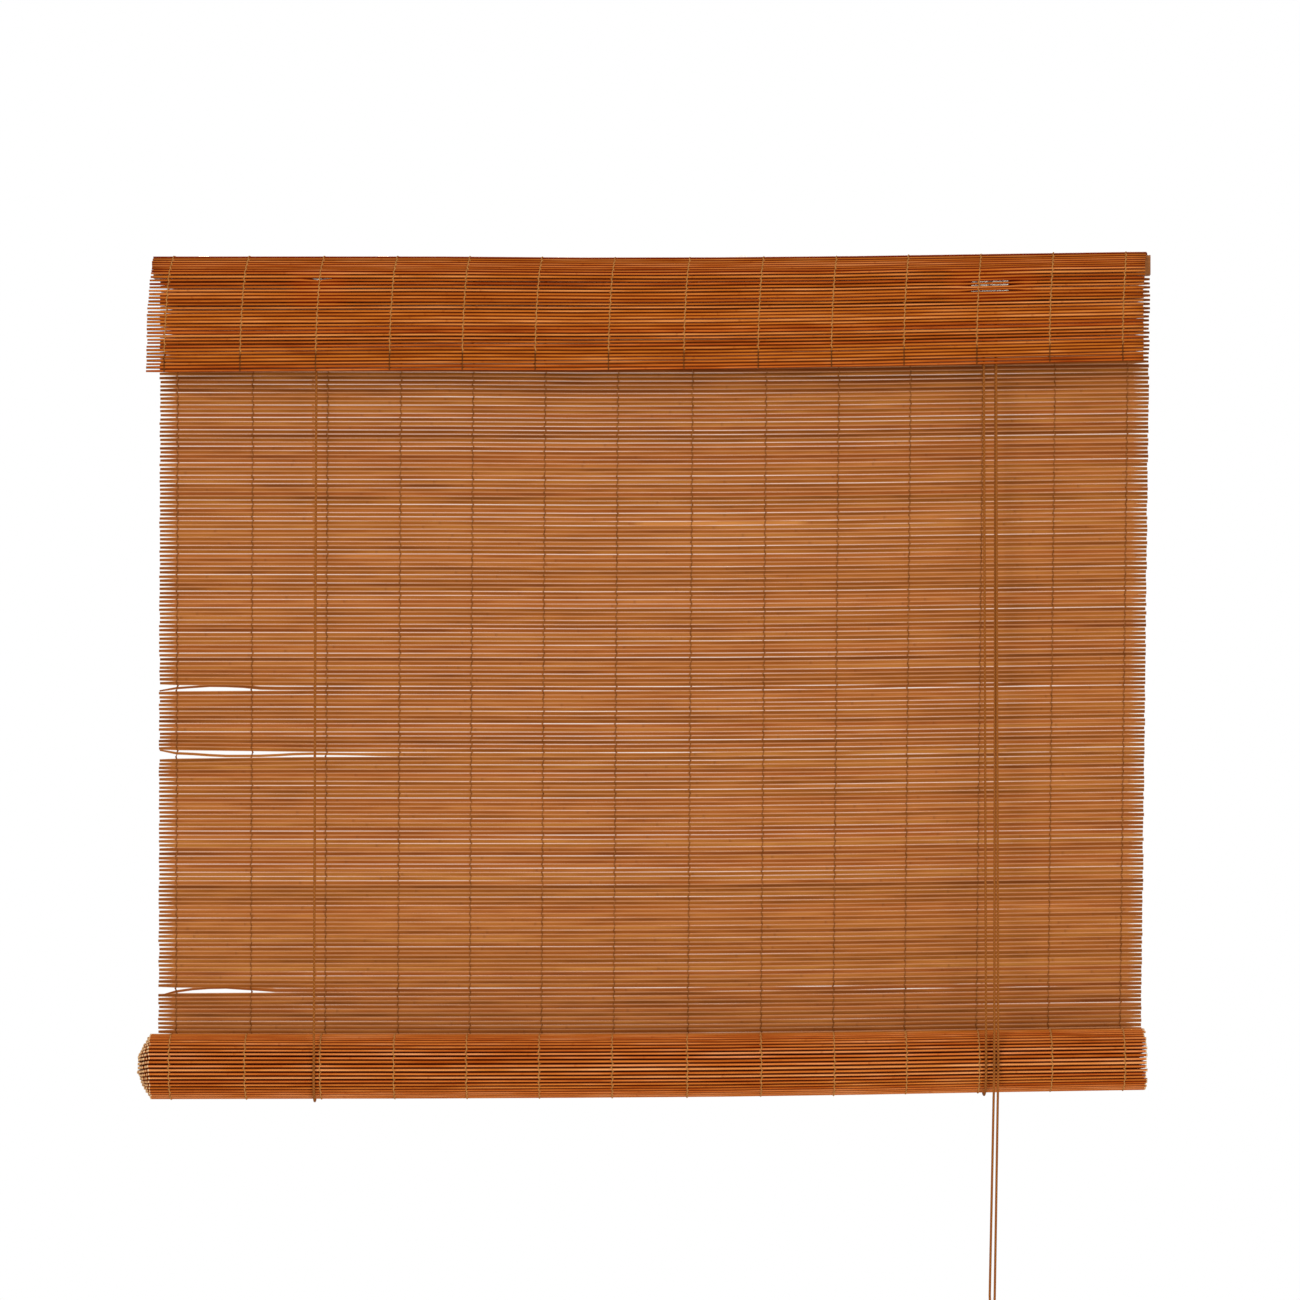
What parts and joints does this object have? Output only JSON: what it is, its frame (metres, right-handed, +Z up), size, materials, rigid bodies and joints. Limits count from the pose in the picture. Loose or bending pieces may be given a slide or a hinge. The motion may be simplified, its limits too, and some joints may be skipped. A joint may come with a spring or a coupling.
{
  "type": "roll up blind",
  "caption": "Woven bamboo roll up blind on a wooden headrail, with a valance, lift cords slung under the roll, pulleys and a pull knob.",
  "frame": {"origin": "on the headrail's top face, midway between the two fixing holes", "axes": "+X along the headrail to the viewer's right, +Y back to the window, +Z up"},
  "size_m": [1.0205, 0.088, 1.1277],
  "materials": {
    "raw_wood": "sawn and sanded softwood",
    "stained_wood": "planed and stained softwood",
    "knob_wood": "turned, stained and varnished",
    "mat_bamboo": "stained bamboo sticks, satin",
    "valance_bamboo": "stained bamboo sticks, satin",
    "roll_bamboo": "stained bamboo sticks, satin",
    "zinc_steel": "zinc plated sheet and wire",
    "sheave_nylon": "moulded",
    "cord": "braided cotton cord"
  },
  "bodies": {
    "frame": {"headrail": "stained_wood", "mat": "mat_bamboo", "valance": "valance_bamboo", "mat_staples": "zinc_steel", "valance_staples": "zinc_steel", "left_bracket": "zinc_steel", "right_bracket": "zinc_steel", "left_axle": "zinc_steel", "right_axle": "zinc_steel", "bracket_screws": "zinc_steel", "cross_cord": "cord", "right_wrap_cord": "cord", "left_front_run": "cord", "right_front_run": "cord", "left_back_run": "cord", "right_back_run": "cord", "rear_strand_upper": "cord", "front_strand_upper": "cord", "back_knots": "cord", "back_cord_staples": "zinc_steel"},
    "slings": {"left_sling": "cord", "right_sling": "cord"},
    "roll": {"roll": "roll_bamboo", "bottom_rod": "raw_wood"},
    "knob": {"pull_knob": "knob_wood", "knob_knot": "cord", "rear_strand_lower": "cord", "front_strand_lower": "cord"},
    "left_sheave": {"left_sheave": "sheave_nylon"},
    "right_rear_sheave": {"right_rear_sheave": "sheave_nylon"},
    "right_front_sheave": {"right_front_sheave": "sheave_nylon"}
  },
  "joints": [
    {"name": "roll_lift", "type": "slide", "parent": "frame", "child": "slings", "axis": [0, 0, 1], "range_m": [0, 0.63], "deforming": ["mat", "left_front_run", "right_front_run", "left_back_run", "right_back_run", "rear_strand_upper", "front_strand_upper"]},
    {"name": "roll_turn", "type": "hinge", "parent": "slings", "child": "roll", "pos_m": [0, -0.0216, -0.813], "axis": [-1, 0, 0], "range_deg": [0, 1080]},
    {"name": "pull_draw", "type": "slide", "parent": "slings", "child": "knob", "axis": [0, 0, -1], "range_m": [0, 1.89], "deforming": ["rear_strand_lower", "front_strand_lower"]},
    {"name": "left_sheave_turn", "type": "hinge", "parent": "frame", "child": "left_sheave", "pos_m": [-0.3318, -0.01365, -0.026], "axis": [0, 1, 0], "continuous": true},
    {"name": "right_rear_sheave_turn", "type": "hinge", "parent": "frame", "child": "right_rear_sheave", "pos_m": [0.3402, -0.01365, -0.026], "axis": [0, 1, 0], "continuous": true},
    {"name": "right_front_sheave_turn", "type": "hinge", "parent": "frame", "child": "right_front_sheave", "pos_m": [0.3402, -0.0186, -0.026], "axis": [0, 1, 0], "continuous": true}
  ],
  "couplings": [
    {"joint": "roll_turn", "follows": "roll_lift", "rad_per_m": 29.92},
    {"joint": "pull_draw", "follows": "roll_lift", "ratio": 3},
    {"joint": "left_sheave_turn", "follows": "roll_lift", "rad_per_m": 322.58},
    {"joint": "right_rear_sheave_turn", "follows": "roll_lift", "rad_per_m": 322.58},
    {"joint": "right_front_sheave_turn", "follows": "roll_lift", "rad_per_m": 322.58}
  ]
}
